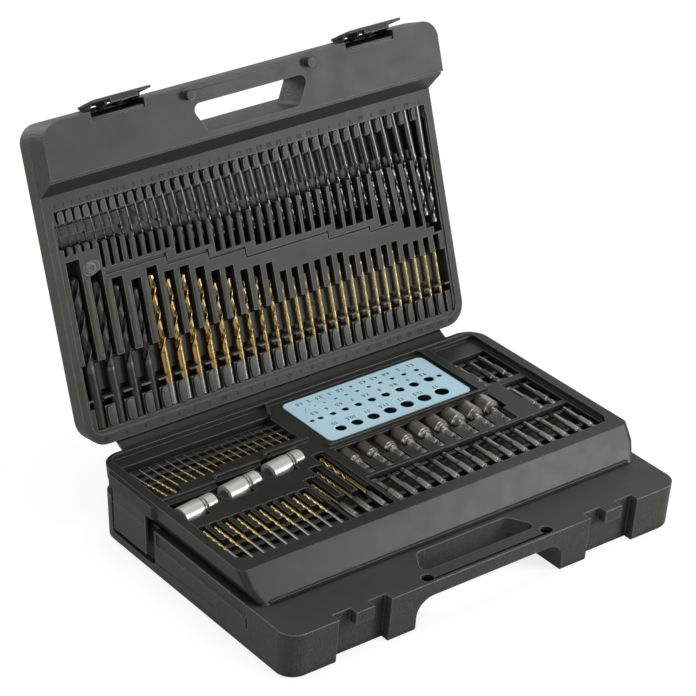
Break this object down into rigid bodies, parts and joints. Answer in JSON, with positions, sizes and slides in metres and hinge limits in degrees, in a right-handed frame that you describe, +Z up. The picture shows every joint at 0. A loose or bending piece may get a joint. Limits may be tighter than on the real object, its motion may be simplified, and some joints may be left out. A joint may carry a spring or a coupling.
{
  "type": "drill bit case",
  "caption": "Flat three-layer carrying case for drill and driver bits, with a hinged lid, a hinged tray, a lower compartment, flip latches and a built-in handle.",
  "frame": {"origin": "middle of the underside of the base, on the surface the case lies on", "axes": "+X to the right along the case, -Y towards the handle side, +Z up; the lid is drawn open"},
  "size_m": [0.4056, 0.3955, 0.364],
  "materials": {
    "shell_plastic": "moulded, fine grain",
    "hinge_plastic": "moulded, satin",
    "latch_plastic": "moulded, satin",
    "gauge_plastic": "smooth, satin",
    "black_steel": "black oxide",
    "gold_steel": "gold-coloured coating",
    "plain_steel": "bright, ground",
    "driver_steel": "satin, grey",
    "nut_steel": "satin, dark grey",
    "sleeve_metal": "satin"
  },
  "bodies": {
    "base": {"base_shell": "shell_plastic", "masonry_bits": "plain_steel", "wood_bits": "plain_steel", "spade_bits": "plain_steel", "tray_hinge_base_leaf": "hinge_plastic"},
    "tray": {"tray_shell": "shell_plastic", "tray_hinge_tray_leaf": "hinge_plastic", "lid_hinge_tray_leaf": "hinge_plastic", "drill_gauge": "gauge_plastic", "depth_stop_sleeves": "sleeve_metal", "small_gold_bits": "gold_steel", "front_gold_bits": "gold_steel", "hex_shank_drills": "gold_steel", "nut_drivers": "nut_steel", "driver_bits_front": "driver_steel", "driver_bits_right": "driver_steel", "driver_bits_rear": "driver_steel"},
    "lid": {"lid_shell": "shell_plastic", "lid_hinge_lid_leaf": "hinge_plastic", "small_black_bits": "black_steel", "medium_black_bits": "black_steel", "large_black_bits": "black_steel", "heavy_black_bits": "black_steel", "large_gold_bits": "gold_steel", "medium_gold_bits": "gold_steel"},
    "latch_left": {"latch_left": "latch_plastic"},
    "latch_right": {"latch_right": "latch_plastic"},
    "side_latch_left": {"side_latch_left": "shell_plastic"},
    "side_latch_right": {"side_latch_right": "shell_plastic"}
  },
  "joints": [
    {"name": "tray_hinge", "type": "hinge", "parent": "base", "child": "tray", "pos_m": [0, 0.146, 0.04315], "axis": [-1, 0, 0], "range_deg": [0, 95]},
    {"name": "lid_hinge", "type": "hinge", "parent": "tray", "child": "lid", "pos_m": [0, 0.1476, 0.0661], "axis": [-1, 0, 0], "range_deg": [-105.9, 0]},
    {"name": "latch_left_hinge", "type": "hinge", "parent": "lid", "child": "latch_left", "pos_m": [-0.1275, 0.22072, 0.3414], "axis": [-1, 0, 0], "range_deg": [-15, 65]},
    {"name": "latch_right_hinge", "type": "hinge", "parent": "lid", "child": "latch_right", "pos_m": [0.1275, 0.22072, 0.3414], "axis": [-1, 0, 0], "range_deg": [-15, 65]},
    {"name": "side_latch_left_hinge", "type": "hinge", "parent": "tray", "child": "side_latch_left", "pos_m": [-0.2011, 0.088, 0.0533], "axis": [0, 1, 0], "range_deg": [0, 90]},
    {"name": "side_latch_right_hinge", "type": "hinge", "parent": "tray", "child": "side_latch_right", "pos_m": [0.2011, 0.088, 0.0533], "axis": [0, -1, 0], "range_deg": [0, 90]}
  ]
}
